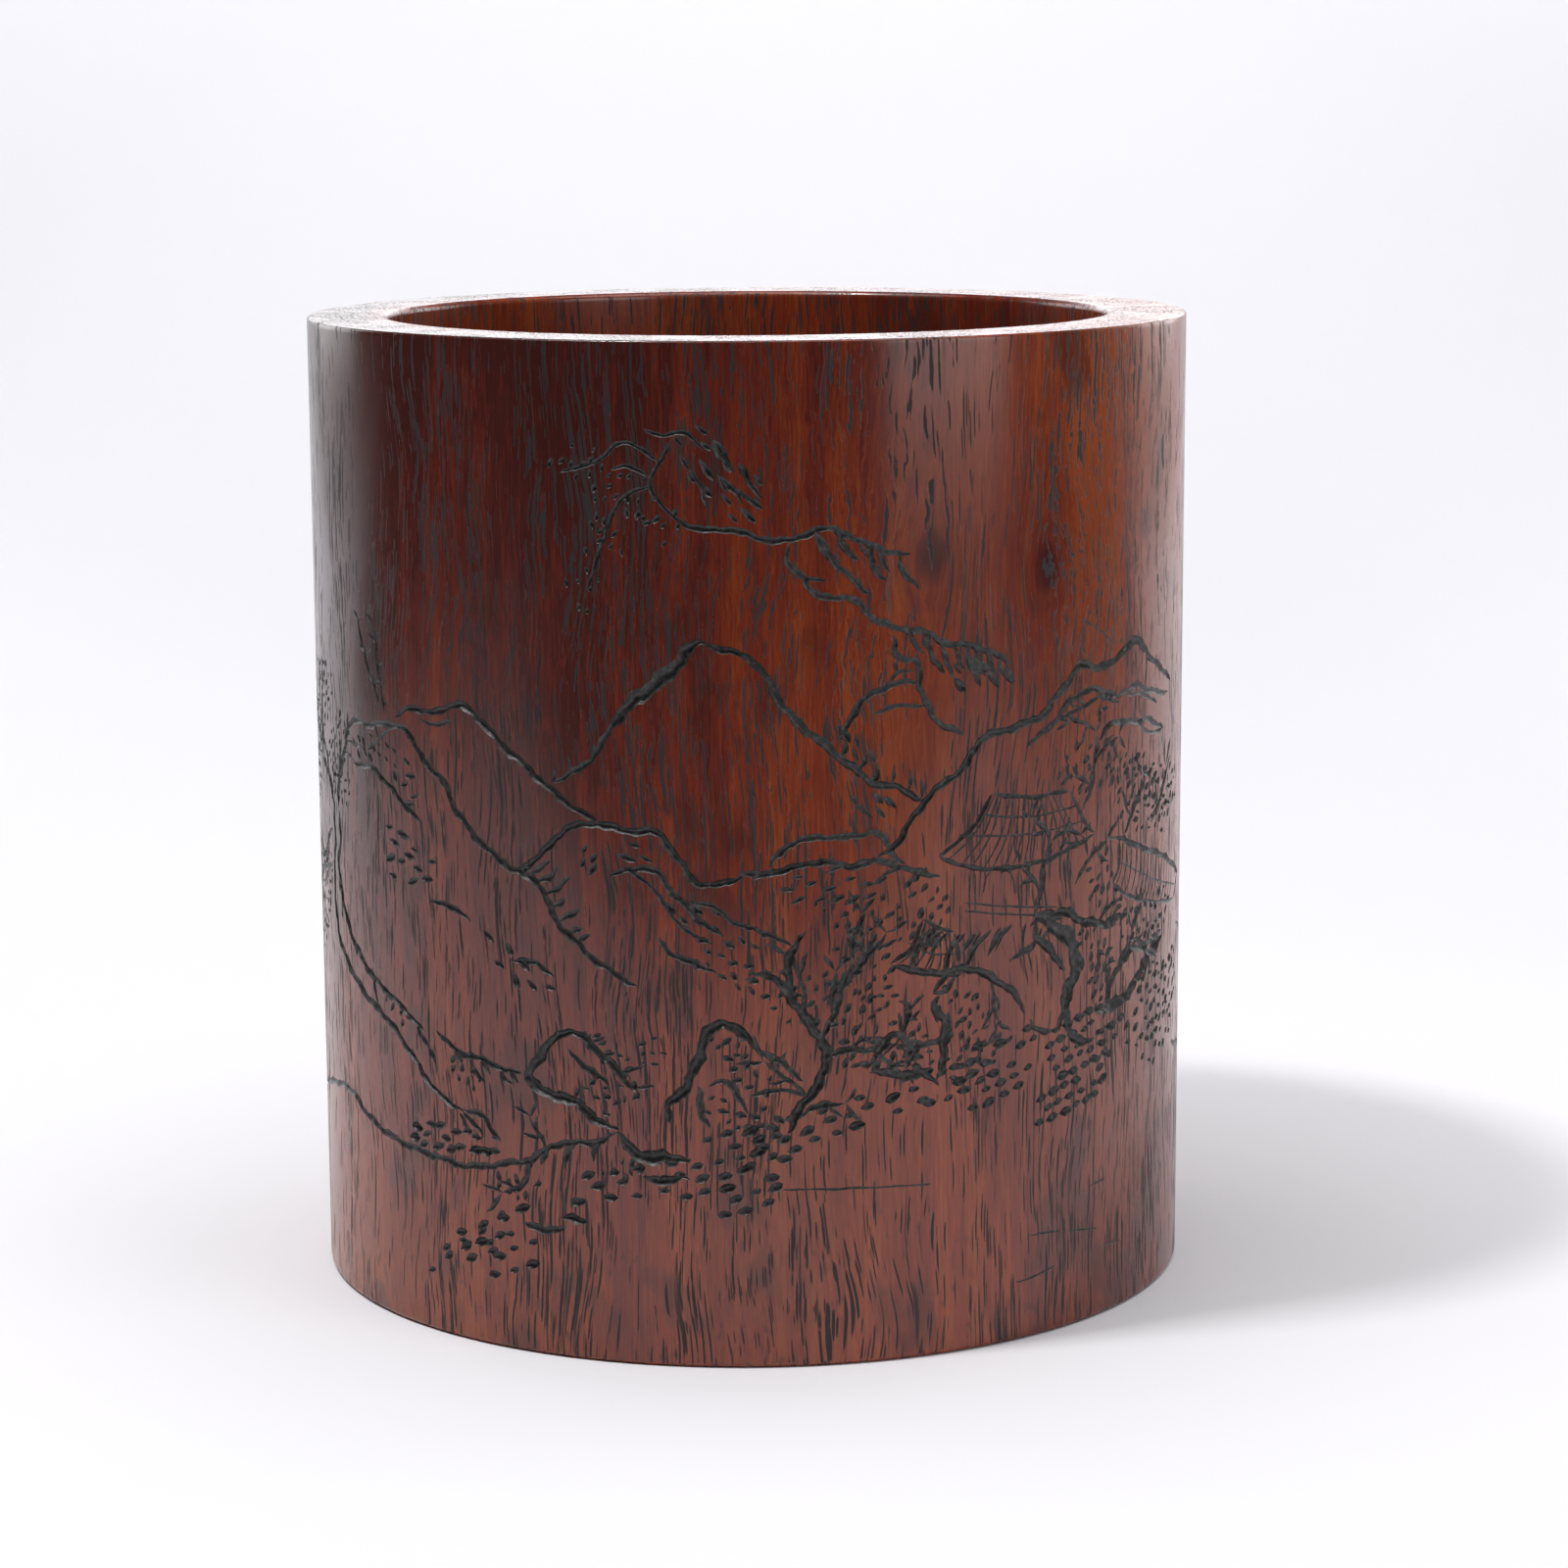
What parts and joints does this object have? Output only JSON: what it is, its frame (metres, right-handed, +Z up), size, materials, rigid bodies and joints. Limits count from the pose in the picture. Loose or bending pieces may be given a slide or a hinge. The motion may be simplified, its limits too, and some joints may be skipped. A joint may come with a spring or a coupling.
{
  "type": "brush holder pot",
  "caption": "Straight-sided, thick-walled round hardwood pot for writing brushes, with an incised landscape on its side and a let-in floor disc.",
  "frame": {"origin": "on the pot's axis, in the plane of the foot ring that it stands on", "axes": "+Z up the pot's axis, out of its mouth; -Y is the side with the middle of the carved landscape"},
  "size_m": [0.15, 0.15, 0.1645],
  "materials": {
    "polished_side": "waxed and polished dense reddish-brown hardwood with dark pores, carved lines filled charcoal black",
    "floor_board": "satin, waxed reddish-brown hardwood",
    "plug_wood": "satin, waxed darker end-grain hardwood"
  },
  "bodies": {
    "root": {"pot_wall": "polished_side", "base_disc": "floor_board", "centre_plug": "plug_wood"}
  },
  "joints": []
}
